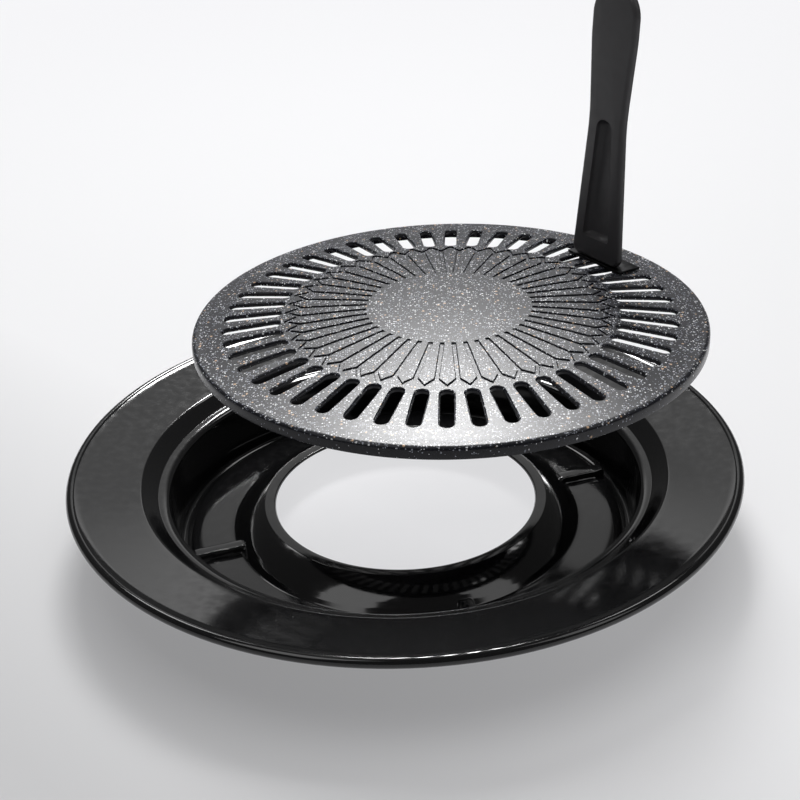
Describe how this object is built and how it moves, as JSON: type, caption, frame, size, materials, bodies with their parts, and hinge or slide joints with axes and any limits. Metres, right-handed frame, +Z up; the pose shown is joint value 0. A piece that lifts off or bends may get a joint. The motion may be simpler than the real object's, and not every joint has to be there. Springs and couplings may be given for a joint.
{
  "type": "yakiniku grill plate",
  "caption": "Round tabletop barbecue grill: a slotted, grooved plate seated in a drip tray with a burner hole, lifted by an upright hook-on handle.",
  "frame": {"origin": "on the drip tray's axis, at the level of the surface the tray stands on", "axes": "+Z up along the tray's axis; -Y towards the side from which the object is usually seen; the handle stands on the +X +Y side of the plate"},
  "size_m": [0.4, 0.4, 0.3073],
  "materials": {
    "tray_enamel": "gloss black enamel",
    "plate_coating": "charcoal non-stick coating with pale speckles",
    "handle_resin": "satin black resin",
    "hook_steel": "blackened steel",
    "screw_steel": "plain steel"
  },
  "bodies": {
    "tray": {"drip_tray": "tray_enamel"},
    "plate": {"grill_plate": "plate_coating"},
    "handle": {"handle_grip": "handle_resin", "hook_plate": "hook_steel", "handle_screw_lower": "screw_steel", "handle_screw_upper": "screw_steel"}
  },
  "joints": [
    {"name": "plate_lift", "type": "slide", "parent": "tray", "child": "plate", "axis": [0.2924, -0.0332, 0.9557], "range_m": [-0.0992, 0.05]},
    {"name": "handle_tilt", "type": "hinge", "parent": "plate", "child": "handle", "pos_m": [0.11909, 0.05785, 0.14274], "axis": [0.5621, -0.8271, 0], "range_deg": [0, 25]}
  ]
}
